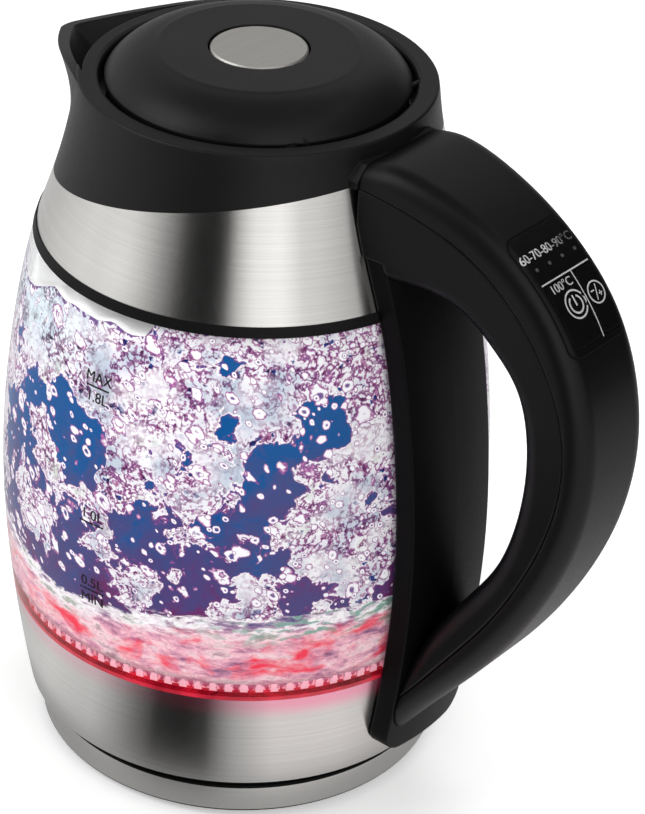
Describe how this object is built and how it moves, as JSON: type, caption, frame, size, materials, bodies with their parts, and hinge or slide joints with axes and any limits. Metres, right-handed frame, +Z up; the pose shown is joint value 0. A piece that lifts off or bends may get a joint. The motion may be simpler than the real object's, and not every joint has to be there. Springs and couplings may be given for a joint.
{
  "type": "electric kettle",
  "caption": "Cordless glass electric kettle with steel bands, V spout, hinged push-button lid, loop handle with control panel, and a round power base.",
  "frame": {"origin": "on the jug's axis at the worktop, at the centre of the round standing rim under the power base", "axes": "+Z up along the jug's axis, +X towards the handle, the spout at -X"},
  "size_m": [0.2254, 0.1612, 0.2486],
  "materials": {
    "black_plastic": "fine matt moulded black plastic",
    "panel_gloss": "gloss black plastic",
    "brushed_steel": "brushed stainless sheet",
    "plain_steel": "plain stainless steel",
    "spring_steel": "spring wire",
    "brass": "bare brass",
    "glass": "clear borosilicate glass",
    "red_silicone": "translucent silicone lit red",
    "black_silicone": "black silicone",
    "clear_acrylic": "clear acrylic lit red",
    "grey_plastic": "grey heat-proof plastic",
    "circuit_board": "green circuit board",
    "lamp": "lamp lens",
    "wire_sleeve": "sleeved wires"
  },
  "bodies": {
    "power_base": {"base_bottom_plate": "black_plastic", "base_feet": "black_silicone", "base_trim_ring": "brushed_steel", "base_cover": "black_plastic", "base_hub": "grey_plastic", "base_contacts": "brass", "base_screws": "plain_steel", "cord_gland": "black_silicone"},
    "jug": {"jug_base": "black_plastic", "lower_band": "brushed_steel", "heating_pan": "plain_steel", "heating_element": "plain_steel", "boil_control": "grey_plastic", "jug_socket": "grey_plastic", "socket_contacts": "brass", "temperature_sensor": "plain_steel", "light_ring": "clear_acrylic", "led_board": "circuit_board", "ring_leds": "lamp", "lower_seal": "red_silicone", "glass_body": "glass", "upper_seal": "black_silicone", "upper_band": "brushed_steel", "collar": "black_plastic", "handle_mount": "black_plastic", "handle_inner": "black_plastic", "handle_cover": "black_plastic", "handle_screws": "plain_steel", "control_panel": "panel_gloss", "control_board": "circuit_board", "indicator_leds": "lamp", "wire_loom": "wire_sleeve", "lid_pins": "plain_steel", "lid_spring": "spring_steel"},
    "lid": {"lid_cover": "black_plastic", "lid_liner": "black_plastic", "lid_seal": "black_silicone", "lid_screws": "plain_steel", "button_springs": "spring_steel", "latch_spring": "spring_steel"},
    "lid_button": {"lid_button": "brushed_steel", "button_stem": "black_plastic"},
    "latch": {"latch_bolt": "black_plastic"},
    "power_key": {"power_key": "panel_gloss"},
    "temperature_key": {"temperature_key": "panel_gloss"},
    "filter": {"filter_frame": "black_plastic", "filter_mesh": "plain_steel"}
  },
  "joints": [
    {"name": "jug_lift", "type": "slide", "parent": "power_base", "child": "jug", "axis": [0, 0, 1], "range_m": [0, 0.12]},
    {"name": "lid_hinge", "type": "hinge", "parent": "jug", "child": "lid", "pos_m": [0.038, 0, 0.2378], "axis": [0, 1, 0], "range_deg": [0, 75]},
    {"name": "button_press", "type": "slide", "parent": "lid", "child": "lid_button", "axis": [0, 0, -1], "range_m": [0, 0.004], "stiffness_N_per_m": 500, "deforming": ["button_springs"]},
    {"name": "latch_draw", "type": "slide", "parent": "lid", "child": "latch", "axis": [1, 0, 0], "range_m": [0, 0.003], "deforming": ["latch_spring"]},
    {"name": "power_key_press", "type": "slide", "parent": "jug", "child": "power_key", "axis": [-0.718, 0, -0.696], "range_m": [0, 0.0005], "stiffness_N_per_m": 800},
    {"name": "temperature_key_press", "type": "slide", "parent": "jug", "child": "temperature_key", "axis": [-0.718, 0, -0.696], "range_m": [0, 0.0005], "stiffness_N_per_m": 800},
    {"name": "filter_pull", "type": "slide", "parent": "jug", "child": "filter", "axis": [1, 0, 0], "range_m": [0, 0.03]}
  ],
  "couplings": [
    {"joint": "latch_draw", "follows": "button_press", "ratio": 0.75}
  ]
}
